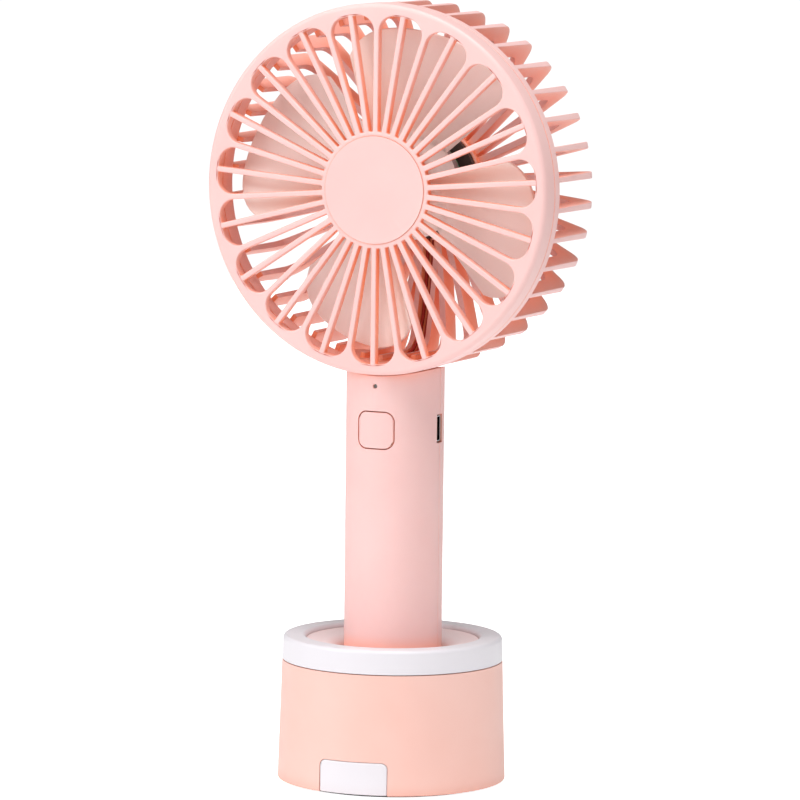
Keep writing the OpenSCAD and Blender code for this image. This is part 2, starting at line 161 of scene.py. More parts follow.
def copied(obj):
    pick(obj)
    bpy.ops.object.duplicate()
    return bpy.context.object


def joined(parts, name):
    deselect()
    for part in parts:
        part.select_set(True)
    bpy.context.view_layer.objects.active = parts[0]
    if len(parts) > 1:
        bpy.ops.object.join()
    return named(name)


def ring_of(obj, turns, name):
    """Copies a part to each turn about Z and joins the copies."""
    copies = []
    for turn in turns:
        part = copied(obj)
        part.rotation_euler.z = turn
        copies.append(settle(part))
    bpy.data.objects.remove(obj)
    return joined(copies, name)


def on_head(obj, y=0.0):
    """Lays a part that was made about Z along +Y on the head's axis."""
    obj.rotation_euler.x = -math.pi / 2
    obj.location = (0, y, head_z)
    return settle(obj)


def rounded(corners, steps=6):
    """Points of an outline whose corners are (across, up, radius); each radius becomes an arc."""
    points = []
    for i, (x, z, radius) in enumerate(corners):
        here = Vector((x, z))
        if not radius:
            points.append(here)
            continue
        back = (Vector(corners[i - 1][:2]) - here).normalized()
        ahead = (Vector(corners[(i + 1) % len(corners)][:2]) - here).normalized()
        half = back.angle(ahead) / 2
        centre = here + (back + ahead).normalized() * (radius / math.sin(half))
        first = here + back * (radius / math.tan(half)) - centre
        last = here + ahead * (radius / math.tan(half)) - centre
        sweep = first.angle_signed(last)
        for k in range(steps + 1):
            spoke = first.copy()
            spoke.rotate(Matrix.Rotation(-sweep * k / steps, 2))
            points.append(centre + spoke)
    return points


def chain(name, points):
    """Draws a chain of edges by extruding one vertex from point to point; stays in edit mode."""
    deselect()
    bpy.ops.mesh.primitive_plane_add(size=mm)
    obj = named(name)
    open_edit(obj)
    bpy.ops.mesh.merge(type="CENTER")
    bpy.ops.transform.translate(value=points[0])
    for here, there in zip(points, points[1:]):
        bpy.ops.mesh.extrude_vertices_move(TRANSFORM_OT_translate={"value": there - here})
    return obj


def turned(name, corners, steps=round_steps, ring=False):
    """Spins an outline of (radius, height, rounding) corners about Z. A ring's outline is closed."""
    points = [Vector((p.x, 0, p.y)) for p in rounded(corners)]
    if ring:
        points.append(points[0].copy())
    obj = chain(name, points)
    bpy.ops.mesh.select_all(action="SELECT")
    bpy.ops.mesh.spin(steps=steps, angle=math.tau, center=(0, 0, 0), axis=(0, 0, 1))
    bpy.ops.mesh.select_all(action="SELECT")
    bpy.ops.mesh.remove_doubles(threshold=weld)
    bpy.ops.mesh.dissolve_degenerate(threshold=0.001 * mm)
    bpy.ops.mesh.select_all(action="SELECT")
    bpy.ops.mesh.normals_make_consistent(inside=False)
    close_edit()
    return obj


def slab(name, outline, thickness, upright=False):
    """Fills an outline of (across, up) points and extrudes it, from 0 up, or to both sides if upright."""
    if upright:
        points = [Vector((p[0], -thickness / 2, p[1])) for p in outline]
        push = (0, thickness, 0)
    else:
        points = [Vector((p[0], p[1], 0)) for p in outline]
        push = (0, 0, thickness)
    obj = chain(name, points + [points[0]])
    bpy.ops.mesh.select_all(action="SELECT")
    bpy.ops.mesh.remove_doubles(threshold=weld)
    bpy.ops.mesh.edge_face_add()
    bpy.ops.mesh.extrude_region_move(TRANSFORM_OT_translate={"value": push})
    bpy.ops.mesh.select_all(action="SELECT")
    bpy.ops.mesh.normals_make_consistent(inside=False)
    close_edit()
    return obj


def rod(name, radius, low, high, sides=48):
    """A round cutter or pin about Z."""
    deselect()
    bpy.ops.mesh.primitive_cylinder_add(
        vertices=sides, radius=radius, depth=high - low, location=(0, 0, (low + high) / 2))
    return settle(named(name))


def block(name, low, high):
    """A square cutter between two corners."""
    deselect()
    low = Vector(low)
    high = Vector(high)
    bpy.ops.mesh.primitive_cube_add(size=1, location=(low + high) / 2, scale=high - low)
    return settle(named(name))


def moved(obj, place):
    obj.location = place
    return settle(obj)


def carve(piece, tool, how="DIFFERENCE"):
    pick(piece)
    bpy.ops.object.modifier_add(type="BOOLEAN")
    cut = piece.modifiers[-1]
    cut.operation = how
    cut.object = tool
    cut.solver = "EXACT"
    bpy.ops.object.modifier_apply(modifier=cut.name)
    bpy.data.objects.remove(tool)
    return piece


def flatten(piece, degrees):
    """Melts the edges between faces that lie in one plane."""
    open_edit(piece)
    bpy.ops.mesh.remove_doubles(threshold=weld)
    bpy.ops.mesh.dissolve_limited(angle_limit=math.radians(degrees))
    close_edit()
    return piece


def soften(piece, width, segments=3, sharp=sharp_edge):
    """Rounds every edge sharper than the given angle, then shades the piece."""
    pick(piece)
    bpy.ops.object.modifier_add(type="BEVEL")
    edge = piece.modifiers[-1]
    edge.width = width
    edge.segments = segments
    edge.limit_method = "ANGLE"
    edge.angle_limit = math.radians(sharp)
    edge.use_clamp_overlap = False
    edge.miter_outer = "MITER_ARC"
    bpy.ops.object.modifier_apply(modifier=edge.name)
    return shade(piece)


def shade(piece, degrees=32):
    pick(piece)
    bpy.ops.object.shade_smooth_by_angle(angle=math.radians(degrees))
    bpy.ops.object.modifier_add(type="WEIGHTED_NORMAL")
    piece.modifiers[-1].keep_sharp = True
    bpy.ops.object.modifier_apply(modifier=piece.modifiers[-1].name)
    return piece


def softened(node, name, width, segments=2):
    """A copy of a CAD node's mesh with its sharp edges rounded."""
    piece = copied(nodes[node])
    piece.parent = None
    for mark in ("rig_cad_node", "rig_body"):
        del piece[mark]
    piece.name = name
    piece.data.name = name
    piece.data.materials.clear()
    flatten(piece, 0.6)
    return soften(piece, width, segments)


def stand_for(piece, node):
    """Gives a modelled piece its CAD node's body, slot and finish, and hides the node."""
    piece.data.materials.clear()
    piece.data.materials.append(painted_light_finish.get(node, finishes[slot_of[node]]))
    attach(piece, body_of[node])
    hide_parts(node)
    return piece


# ------------------------------------------------------------------ shader groups

def node_group(name, inputs, outputs):
    """A shader group with named sockets; returns the tree and its two end nodes."""
    tree = bpy.data.node_groups.new(name, "ShaderNodeTree")
    for label, kind, value in inputs:
        socket = tree.interface.new_socket(name=label, in_out="INPUT", socket_type=kind)
        socket.default_value = value
    for label, kind in outputs:
        tree.interface.new_socket(name=label, in_out="OUTPUT", socket_type=kind)
    return tree, tree.nodes.new("NodeGroupInput"), tree.nodes.new("NodeGroupOutput")


def add(tree, kind, **values):
    """Adds a node; values named like a socket set that socket, the others set the node."""
    node = tree.nodes.new(kind)
    for key, value in values.items():
        if hasattr(node, key):
            setattr(node, key, value)
        else:
            node.inputs[key.replace("_", " ")].default_value = value
    return node


def maths(tree, operation, a, b):
    """A Math node fed by sockets or plain numbers."""
    node = tree.nodes.new("ShaderNodeMath")
    node.operation = operation
    for socket, value in zip(node.inputs, (a, b)):
        if isinstance(value, (int, float)):
            socket.default_value = value
        else:
            tree.links.new(value, socket)
    return node.outputs["Value"]


def blended(tree, factor, a, b, kind="MIX"):
    """Mixes two colours, each a socket or a plain colour."""
    node = tree.nodes.new("ShaderNodeMix")
    node.data_type = "RGBA"
    node.blend_type = kind
    for socket, value in ((node.inputs[0], factor), (node.inputs[6], a), (node.inputs[7], b)):
        if isinstance(value, bpy.types.NodeSocket):
            tree.links.new(value, socket)
        else:
            socket.default_value = value
    return node.outputs[2]


def noise(tree, place, scale, detail=2.0, roughness=0.5):
    node = add(tree, "ShaderNodeTexNoise", Scale=scale, Detail=detail, Roughness=roughness)
    tree.links.new(place, node.inputs["Vector"])
    return node.outputs["Fac"]


def ranged(tree, value, low, high, to_low=0.0, to_high=1.0):
    node = tree.nodes.new("ShaderNodeMapRange")
    node.inputs["From Min"].default_value = low
    node.inputs["From Max"].default_value = high
    node.inputs["To Min"].default_value = to_low
    node.inputs["To Max"].default_value = to_high
    tree.links.new(value, node.inputs["Value"])
    return node.outputs["Result"]


def make_moulded_skin():
    """Injection-moulded plastic: slight colour drift from the pigment, spark-eroded grain, satin patches."""
    tree, start, end = node_group(
        "moulded_skin",
        [("Colour", "NodeSocketColor", (0.8, 0.8, 0.8, 1)),
         ("Pigment drift", "NodeSocketFloat", 0.05),
         ("Roughness", "NodeSocketFloat", 0.4),
         ("Roughness drift", "NodeSocketFloat", 0.08)],
        [("Colour", "NodeSocketColor"), ("Roughness", "NodeSocketFloat"), ("Grain", "NodeSocketFloat")])
    links = tree.links
    place = tree.nodes.new("ShaderNodeTexCoord").outputs["Object"]
    clouds = noise(tree, place, 38.0, 3.0)
    deeper = add(tree, "ShaderNodeHueSaturation", Saturation=1.35, Value=0.93)
    links.new(start.outputs["Colour"], deeper.inputs["Color"])
    share = maths(tree, "MULTIPLY", ranged(tree, clouds, 0.35, 0.7), start.outputs["Pigment drift"])
    links.new(blended(tree, share, start.outputs["Colour"], deeper.outputs["Color"]), end.inputs["Colour"])
    patches = ranged(tree, noise(tree, place, 110.0, 2.0), 0.3, 0.7, -1.0, 1.0)
    drift = maths(tree, "MULTIPLY", patches, start.outputs["Roughness drift"])
    links.new(maths(tree, "ADD", drift, start.outputs["Roughness"]), end.inputs["Roughness"])
    fine = noise(tree, place, 2600.0, 3.0, 0.6)
    broad = noise(tree, place, 900.0, 2.0)
    links.new(maths(tree, "ADD", fine, maths(tree, "MULTIPLY", broad, 0.5)), end.inputs["Grain"])
    return tree


def make_handled_edges():
    """Mask of the outer edges that hands and the desk rub, broken up by noise."""
    tree, start, end = node_group(
        "handled_edges",
        [("Amount", "NodeSocketFloat", 0.3)],
        [("Worn", "NodeSocketFloat")])
    place = tree.nodes.new("ShaderNodeTexCoord").outputs["Object"]
    crest = ranged(tree, tree.nodes.new("ShaderNodeNewGeometry").outputs["Pointiness"], 0.52, 0.62)
    broken = ranged(tree, noise(tree, place, 160.0, 4.0, 0.65), 0.4, 0.65)
    both = maths(tree, "MULTIPLY", crest, broken)
    tree.links.new(maths(tree, "MULTIPLY", both, start.outputs["Amount"]), end.inputs["Worn"])
    return tree


def make_painted_recess_shade():
    """Painted shade: where ambient occlusion finds close walls, the colour is pulled towards a deeper, more
    saturated tint; the same share also gives a painted glow of that tint.
    """
    tree, start, end = node_group(
        "painted_recess_shade",
        [("Colour", "NodeSocketColor", (0.8, 0.8, 0.8, 1)),
         ("Deep colour", "NodeSocketColor", (0.8, 0.4, 0.3, 1)),
         ("Reach", "NodeSocketFloat", 6 * mm),
         ("Amount", "NodeSocketFloat", 0.5)],
        [("Colour", "NodeSocketColor"), ("Painted glow", "NodeSocketColor")])
    links = tree.links
    shade_node = add(tree, "ShaderNodeAmbientOcclusion", samples=8, only_local=False)
    links.new(start.outputs["Reach"], shade_node.inputs["Distance"])
    closed = ranged(tree, shade_node.outputs["AO"], 0.9, 0.45)
    share = maths(tree, "MULTIPLY", closed, start.outputs["Amount"])
    tinted = blended(tree, share, start.outputs["Colour"], start.outputs["Deep colour"])
    links.new(tinted, end.inputs["Colour"])
    # Painted glow: the deep tint, by the same share, for use as emission colour.
    painted_glow = blended(tree, share, (0, 0, 0, 1), start.outputs["Deep colour"])
    links.new(painted_glow, end.inputs["Painted glow"])
    return tree


def make_metal_skin():
    """Turned or drawn metal: fine streaks about the head's axis and dull smudges."""
    tree, start, end = node_group(
        "metal_skin",
        [("Colour", "NodeSocketColor", (0.6, 0.6, 0.6, 1)),
         ("Roughness", "NodeSocketFloat", 0.3),
         ("Streak", "NodeSocketFloat", 0.12)],
        [("Colour", "NodeSocketColor"), ("Roughness", "NodeSocketFloat"), ("Grain", "NodeSocketFloat")])
    links = tree.links
    place = tree.nodes.new("ShaderNodeTexCoord").outputs["Object"]
    stretch = add(tree, "ShaderNodeMapping", Scale=(1.0, 14.0, 1.0))
    links.new(place, stretch.inputs["Vector"])
    streaks = noise(tree, stretch.outputs["Vector"], 700.0, 3.0)
    smudges = noise(tree, place, 120.0, 4.0, 0.6)
    darker = add(tree, "ShaderNodeHueSaturation", Value=0.72)
    links.new(start.outputs["Colour"], darker.inputs["Color"])
    share = ranged(tree, smudges, 0.5, 0.75, 0.0, 0.6)
    links.new(blended(tree, share, start.outputs["Colour"], darker.outputs["Color"]), end.inputs["Colour"])
    spread = maths(tree, "MULTIPLY", ranged(tree, streaks, 0.2, 0.8, -1.0, 1.0), start.outputs["Streak"])
    links.new(maths(tree, "ADD", spread, start.outputs["Roughness"]), end.inputs["Roughness"])
    links.new(streaks, end.inputs["Grain"])
    return tree


moulded_skin = make_moulded_skin()
handled_edges = make_handled_edges()
painted_recess_shade = make_painted_recess_shade()
metal_skin = make_metal_skin()


# ------------------------------------------------------------------ materials

def placed(tree, group, **values):
    node = tree.nodes.new("ShaderNodeGroup")
    node.node_tree = group
    for key, value in values.items():
        node.inputs[key.replace("_", " ")].default_value = value
    return node


def new_material(name, **sockets):
    """A material with one Principled shader; plain values go on its own sockets."""
    material = bpy.data.materials.new(name)
    material.use_nodes = True
    shader = material.node_tree.nodes["Principled BSDF"]
    for key, value in sockets.items():
        shader.inputs[key.replace("_", " ")].default_value = value
    return material, material.node_tree, shader


def grained(tree, shader, height, strength, depth):
    bump = add(tree, "ShaderNodeBump", Strength=strength, Distance=depth)
    tree.links.new(height, bump.inputs["Height"])
    tree.links.new(bump.outputs["Normal"], shader.inputs["Normal"])


def plastic(name, colour, deep, roughness=0.42, drift=0.25, painted_shade_amount=0.5, reach=6 * mm,
            wear=0.12, grain=0.12, painted_glow=0.0, **sockets):
    """Moulded plastic with grain, pigment drift, painted shade that deepens the tint in its recesses, an
    optional painted glow there, and lightly rubbed edges.
    """
    material, tree, shader = new_material(name, **sockets)
    links = tree.links
    skin = placed(tree, moulded_skin, Colour=(*colour, 1), Pigment_drift=drift, Roughness=roughness,
                  Roughness_drift=0.06)
    # Painted shade: the colour deepens towards the deep colour in the recesses.
    shaded_tint = placed(tree, painted_recess_shade, Deep_colour=(*deep, 1), Reach=reach, Amount=painted_shade_amount)
    rubbed = placed(tree, handled_edges, Amount=wear)
    paler = tuple(min(1.0, c * 1.08 + 0.03) for c in colour)
    links.new(skin.outputs["Colour"], shaded_tint.inputs["Colour"])
    links.new(blended(tree, rubbed.outputs["Worn"], shaded_tint.outputs["Colour"], (*paler, 1)),
              shader.inputs["Base Color"])
    links.new(skin.outputs["Roughness"], shader.inputs["Roughness"])
    # Painted glow: the plastic emits the deep tint in its recesses, though it is no lamp.
    if painted_glow:
        links.new(shaded_tint.outputs["Painted glow"], shader.inputs["Emission Color"])
        shader.inputs["Emission Strength"].default_value = painted_glow
    grained(tree, shader, skin.outputs["Grain"], grain, 0.03 * mm)
    return material


def metal(name, colour, roughness=0.3, streak=0.12, grain=0.1):
    """Bare metal with fine streaks and smudges."""
    material, tree, shader = new_material(name, Metallic=1.0)
    skin = placed(tree, metal_skin, Colour=(*colour, 1), Roughness=roughness, Streak=streak)
    # Darkens the metal in its recesses, as found by ambient occlusion, towards near black.
    recess_darkening = placed(tree, painted_recess_shade, Deep_colour=(0.035, 0.022, 0.018, 1), Reach=4 * mm, Amount=0.95)
    tree.links.new(skin.outputs["Colour"], recess_darkening.inputs["Colour"])
    tree.links.new(recess_darkening.outputs["Colour"], shader.inputs["Base Color"])
    tree.links.new(skin.outputs["Roughness"], shader.inputs["Roughness"])
    grained(tree, shader, skin.outputs["Grain"], grain, 0.02 * mm)
    return material


def make_lens():
    material, tree, shader = new_material("clear_light_pipe", IOR=1.49, Transmission_Weight=0.85)
    skin = placed(tree, moulded_skin, Colour=(0.93, 0.93, 0.9, 1), Pigment_drift=0.1, Roughness=0.12,
                  Roughness_drift=0.03)
    tree.links.new(skin.outputs["Colour"], shader.inputs["Base Color"])
    tree.links.new(skin.outputs["Roughness"], shader.inputs["Roughness"])
    return material


def make_foam():
    """Closed-cell rubber foam: small open cells cut across its face."""
    material, tree, shader = new_material("foam_pad_rubber")
    place = tree.nodes.new("ShaderNodeTexCoord").outputs["Object"]
    cells = add(tree, "ShaderNodeTexVoronoi", Scale=1500.0)
    tree.links.new(place, cells.inputs["Vector"])
    pits = ranged(tree, cells.outputs["Distance"], 0.1, 0.5)
    skin = placed(tree, moulded_skin, Colour=(0.03, 0.03, 0.032, 1), Pigment_drift=0.4, Roughness=0.85,
                  Roughness_drift=0.05)
    tree.links.new(blended(tree, pits, (0.015, 0.015, 0.016, 1), skin.outputs["Colour"]),
                   shader.inputs["Base Color"])
    tree.links.new(skin.outputs["Roughness"], shader.inputs["Roughness"])
    grained(tree, shader, pits, 0.5, 0.15 * mm)
    return material


def make_board():
    """Solder mask over copper tracks: the tracks show as slightly paler, raised lines."""
    material, tree, shader = new_material("board_solder_mask", Coat_Weight=0.4, Coat_Roughness=0.15)
    place = tree.nodes.new("ShaderNodeTexCoord").outputs["Object"]
    grid = add(tree, "ShaderNodeTexBrick", Scale=180.0, Mortar_Size=0.08, Mortar_Smooth=0.2)
    grid.inputs["Color1"].default_value = (0, 0, 0, 1)
    grid.inputs["Color2"].default_value = (0, 0, 0, 1)
    grid.inputs["Mortar"].default_value = (1, 1, 1, 1)
    upright = add(tree, "ShaderNodeMapping", Rotation=(math.pi / 2, 0, 0))
    tree.links.new(place, upright.inputs["Vector"])
    tree.links.new(upright.outputs["Vector"], grid.inputs["Vector"])
    skin = placed(tree, moulded_skin, Colour=(0.01, 0.11, 0.05, 1), Pigment_drift=0.3, Roughness=0.3,
                  Roughness_drift=0.05)
    tree.links.new(blended(tree, grid.outputs["Color"], skin.outputs["Colour"], (0.03, 0.22, 0.1, 1)),
                   shader.inputs["Base Color"])
    tree.links.new(skin.outputs["Roughness"], shader.inputs["Roughness"])
    grained(tree, shader, grid.outputs["Color"], 0.4, 0.05 * mm)
    return material


def make_windings():
    """Enamelled copper wire laid in close turns."""
    material, tree, shader = new_material("copper_windings", Coat_Weight=0.5, Coat_Roughness=0.2)
    place = tree.nodes.new("ShaderNodeTexCoord").outputs["Object"]
    turns = add(tree, "ShaderNodeTexWave", Scale=520.0, Distortion=0.6, wave_type="BANDS",
                bands_direction="DIAGONAL")
    tree.links.new(place, turns.inputs["Vector"])
    skin = placed(tree, metal_skin, Colour=(0.72, 0.3, 0.12, 1), Roughness=0.32, Streak=0.05)
    tree.links.new(blended(tree, turns.outputs["Fac"], (0.2, 0.06, 0.02, 1), skin.outputs["Colour"]),
                   shader.inputs["Base Color"])
    tree.links.new(skin.outputs["Roughness"], shader.inputs["Roughness"])
    metal_share = ranged(tree, turns.outputs["Fac"], 0.0, 1.0, 0.6, 1.0)
    tree.links.new(metal_share, shader.inputs["Metallic"])
    grained(tree, shader, turns.outputs["Fac"], 0.6, 0.1 * mm)
    return material


pink = (0.93, 0.60, 0.575)
peach = (0.93, 0.59, 0.52)
# Every plastic finish below paints a deeper shade into its recesses; the amount of that painted shade is 0.5
# where none is given.
finishes = {
    "shell_pink": plastic("satin_pink_plastic", pink, (0.95, 0.36, 0.22), painted_shade_amount=0.6,
                          Subsurface_Weight=0.06, Subsurface_Radius=(0.004, 0.0012, 0.0008)),
    "blade_pink": plastic("pale_pink_blades", (0.97, 0.89, 0.86), (0.97, 0.77, 0.64), painted_shade_amount=0.3, reach=9 * mm,
                          roughness=0.34),
    "sleeve_peach": plastic("peach_sleeve_plastic", peach, (0.80, 0.30, 0.2), roughness=0.45),
    "trim_white": plastic("white_trim_plastic", (0.80, 0.775, 0.815), (0.75, 0.6, 0.6), roughness=0.34,
                          drift=0.03, wear=0.0, painted_shade_amount=0.3),
    "lens_clear": make_lens(),
    "black_plastic": plastic("black_plastic", (0.06, 0.04, 0.036), (0.03, 0.016, 0.012), roughness=0.55),
    "switch_white": plastic("switch_white_plastic", (0.75, 0.74, 0.7), (0.5, 0.48, 0.44), roughness=0.4),
    "pad_foam": make_foam(),
    "board_green": make_board(),
    "cell_wrap": plastic("cell_shrink_wrap", (0.05, 0.16, 0.32), (0.03, 0.1, 0.22), roughness=0.28,
                         Coat_Weight=0.3),
    "lead_insulation": plastic("lead_insulation", (0.45, 0.03, 0.02), (0.3, 0.02, 0.01), roughness=0.45),
    "bright_steel": metal("bright_steel", (0.66, 0.67, 0.69), roughness=0.22),
    "plain_steel": metal("plain_steel", (0.5, 0.51, 0.53), roughness=0.4),
    "ballast_iron": metal("ballast_iron", (0.3, 0.29, 0.28), roughness=0.6, grain=0.4),
    "magnet_grey": metal("magnet_grey", (0.16, 0.16, 0.17), roughness=0.55, grain=0.3),
    "coil_copper": make_windings(),
    "tube_brass": metal("tube_brass", (0.75, 0.55, 0.25), roughness=0.28),
    "bearing_bronze": metal("bearing_bronze", (0.45, 0.28, 0.14), roughness=0.5, grain=0.35),
}

# The grille's pink is a copy of the shell pink with stronger painted shade in its recesses and a faint
# painted glow there.
grille_pink_painted_shade = plastic("satin_pink_grille_painted_shade", pink, (0.95, 0.32, 0.16), painted_shade_amount=1.0, reach=12 * mm,
                      painted_glow=0.07)
# The cup's pink is painted paler than the shell pink, as if lit more brightly, with a little painted shade in
# its recesses; these painted variants replace the slot finishes of their parts.
cup_pink_painted_lit = plastic("pink_cup_painted_lit", (0.97, 0.82, 0.82), (0.9, 0.42, 0.28), painted_shade_amount=0.45, reach=3 * mm)
painted_light_finish = {"front_grille": grille_pink_painted_shade, "rear_grille": grille_pink_painted_shade, "base_cup": cup_pink_painted_lit}
slot_of = {part["node"]: part["material_slot"] for part in frame["record"]["subparts"]}
body_of = {node: body for body, members in frame["record"]["behaviour"]["bodies"].items() for node in members}

for name, node in nodes.items():
    node.data.materials.clear()
    node.data.materials.append(finishes[slot_of[name]])


# ------------------------------------------------------------------ front cover

def arc(centre, radius, start, end, steps):
    """Points along a round stretch, from one angle to another."""
    turns = [start + (end - start) * k / steps for k in range(steps + 1)]
    return [centre + Vector((math.cos(a), math.sin(a))) * radius for a in turns]


def cell_outlines():
    """Points round one opening, and a partner for each on the edge of its half sector."""
    corner_at = slot_r - petal_corner
    turn = pitch - math.asin((petal_corner + rib_w / 2) / corner_at)
    corner = Vector((math.cos(turn), math.sin(turn))) * corner_at
    centre = Vector((0, 0))
    thin, wide = Vector((1, 0)), Vector((math.cos(pitch), math.sin(pitch)))
    thin_side, wide_side = Vector((0, rib_w / 2)), Vector((wide.y, -wide.x)) * rib_w / 2
    stations = [middle_r + 1.2 * mm, 24 * mm, 32 * mm, 40 * mm, slot_r - 2 * mm]
    end = [(wide * middle_r + wide_side).lerp(thin * middle_r + thin_side, k / 4) for k in range(5)]
    top = arc(centre, slot_r, math.asin(rib_w / 2 / slot_r), turn, 4)
    bend = arc(corner, petal_corner, turn, pitch + math.pi / 2, 9)[1:]
    back = [r for r in reversed(stations) if r < bend[-1].dot(wide) - 1 * mm]
    opening = end + [thin * r + thin_side for r in stations] + top + bend
    opening += [wide * r + wide_side for r in back]
    edge = arc(centre, recess_r, pitch, 0, 4) + [thin * r for r in stations]
    edge += arc(centre, rim_in, 0, pitch, 6) + [wide * point.dot(wide) for point in bend[2:]]
    edge += [wide * r for r in back]
    return [[point.to_3d() for point in line + line[:1]] for line in (opening, edge)]


def make_cell():
    """Flat half sector of the cover: the opening's outline is bridged to the sector's edge."""
    lines = []
    for name, points in zip(("opening", "sector"), cell_outlines()):
        lines.append(chain(name, points))
        close_edit()
    cell = joined(lines, "cell")
    open_edit(cell)
    bpy.ops.mesh.remove_doubles(threshold=weld)
    bpy.ops.mesh.select_all(action="SELECT")
    bpy.ops.mesh.bridge_edge_loops()
    close_edit()
    mirrored = copied(cell)
    mirrored.scale.y = -1
    return joined([cell, settle(mirrored)], "cell")


def pushed(piece, kind, test, push):
    """Extrudes the chosen edges or faces."""
    choose(piece, kind, test)
    bpy.ops.mesh.extrude_region_move(TRANSFORM_OT_translate={"value": push})


def bevelled(piece, test, width, segments):
    choose(piece, "edges", test)
    bpy.ops.mesh.bevel(offset=width, segments=segments, affect="EDGES", clamp_overlap=False)


def near(value, target):
    return abs(value - target) < slack


def on_circle(radius, level):
    """Test for edges that run round the axis at one radius and one height."""
    return lambda edge: all(near(v.co.xy.length, radius) and near(v.co.z, level) for v in edge.verts)


def on_opening(edge):
    """Test for the sharp edges of the petal openings."""
    sharp = len(edge.link_faces) == 2 and edge.calc_face_angle() > math.radians(sharp_edge)
    low, high = middle_r - 0.1 * mm, slot_r + 0.1 * mm
    return sharp and all(low < vert.co.xy.length < high for vert in edge.verts)


def make_front_grille():
    step_depth = cover_depth - 2.8 * mm
    seat_r = lip_out + 0.25 * mm
    turns = [math.pi / 2 + 2 * pitch * k for k in range(petals)]
    plate = ring_of(make_cell(), turns, "front_grille_moulding")
    open_edit(plate)
    bpy.ops.mesh.remove_doubles(threshold=weld)
    for here, there in ((rim_in, seat_r), (seat_r, head_r)):
        pushed(plate, "edges", on_circle(here, 0), (0, 0, 0))
        bpy.ops.transform.resize(value=(there / here, there / here, 1), center_override=(0, 0, 0))
    choose(plate, "edges", on_circle(recess_r, 0))
    bpy.ops.mesh.edge_face_add()
    level = 0
    for inner, depth in ((0, rib_depth), (rim_in, step_depth), (seat_r, cover_depth)):
        pushed(plate, "faces", lambda f: near(f.calc_center_median().z, level) and all(
            v.co.xy.length > inner - slack for v in f.verts), (0, 0, depth - level))
        level = depth
    pushed(plate, "faces", lambda f: near(f.calc_center_median().z, 0) and len(f.verts) > 8, (0, 0, 1 * mm))
    bpy.ops.mesh.select_all(action="SELECT")
    bpy.ops.mesh.normals_make_consistent(inside=False)
    bevelled(plate, on_circle(head_r, 0), 1.3 * mm, 6)
    bevelled(plate, on_circle(head_r, cover_depth), 0.3 * mm, 3)
    bevelled(plate, on_circle(recess_r, 0), 0.08 * mm, 2)
    bevelled(plate, on_opening, 0.38 * mm, 3)
    close_edit()
    return on_head(shade(plate), face_y)


def make_centre_cap():
    depth = centre_high.y - centre_low.y
    cap = turned("centre_cap_disc", [
        (0, 0, 0), (centre_r, 0, 0.12 * mm), (centre_r, depth, 0.1 * mm), (0, depth, 0)])
    return on_head(shade(cap), centre_low.y)


stand_for(make_front_grille(), "front_grille")
stand_for(make_centre_cap(), "centre_cap")


# ------------------------------------------------------------------ rear grille

dome_r = 165 * mm
hub_r = 17 * mm
fin_r = head_r - 0.1 * mm
fin_root_r = 48.7 * mm
fin_deep = 7.3 * mm
fin_t = 1.5 * mm
fin_corner = 6 * mm
outer_corner_y = 17 * mm
inner_corner_y = 11.3 * mm
strut_w = 6.4 * mm
groove_w = 3.4 * mm
groove_deep = 3.4 * mm
motor_seat_y = 20.5 * mm
motor_screw_r = 14 * mm
motor_screw_turns = [math.radians(angle) for angle in (30, 150, 270)]
hub_bore_r = 11.5 * mm
hub_floor = 3 * mm
neck_reach = (100 * mm, 140 * mm)
neck_screw_z = 115.2 * mm
ring_front = seam_y + seam_gap


def dome(r):
    return hub_back_y - dome_r + math.sqrt(dome_r ** 2 - r ** 2) + hub_r ** 2 / 2 / dome_r


def fin_outline():
    """Side view of a fin: out from the rim, round its corner, over the dome and back inside."""
    back = [Vector((r * mm, dome(r * mm) - 0.15 * mm)) for r in range(46, 15, -5)]
    inside = [Vector((r * mm, dome(r * mm) - fin_deep)) for r in range(16, 42, 5)]
    root = [Vector((fin_root_r, rim_y + 0.2 * mm)), Vector((rim_in + 0.4 * mm, rim_y + 0.2 * mm)),
            Vector((rim_in + 0.4 * mm, rim_y - 1.3 * mm)), Vector((fin_r, rim_y - 1.3 * mm))]
    outer_corner = arc(Vector((fin_r - fin_corner, outer_corner_y)), fin_corner, 0, math.radians(70), 7)
    inner_corner = arc(Vector((fin_root_r - fin_corner, inner_corner_y)), fin_corner, math.radians(70), 0, 5)
    return root + outer_corner + back + inside + inner_corner


def draft(fin, thickness, angle):
    """Leans both sides of a fin towards each other, so that it thins towards the back."""
    open_edit(fin)
    for side in (-1, 1):
        choose(fin, "faces", lambda face: face.normal.y * side > 0.9)
        bpy.ops.transform.rotate(value=angle * side, orient_axis="X",
                                 center_override=(0, side * thickness / 2, rim_y))
    close_edit()


def make_fin():
    fin = slab("fin", fin_outline(), fin_t, upright=True)
    draft(fin, fin_t, math.radians(0.55))
    return soften(fin, 0.28 * mm, segments=2)


def make_wire_strut():
    """The wide, grooved fin at six o'clock that carries the motor's wires."""
    strut = slab("wire_strut", fin_outline(), strut_w, upright=True)
    groove = arc(Vector((fin_root_r - fin_corner, inner_corner_y)), 9 * mm, 0, math.radians(62), 5)
    groove = [Vector((40 * mm, rim_y - 1 * mm)), Vector((rim_in + 0.9 * mm, rim_y - 1 * mm))] + groove
    groove += [Vector((r * mm, dome(r * mm) - fin_deep + groove_deep)) for r in range(41, 5, -5)]
    groove += [Vector((6 * mm, 10 * mm)), Vector((40 * mm, 10 * mm))]
    carve(strut, slab("groove", groove, groove_w, upright=True))
    strut.rotation_euler.z = math.pi / 2
    return settle(strut)


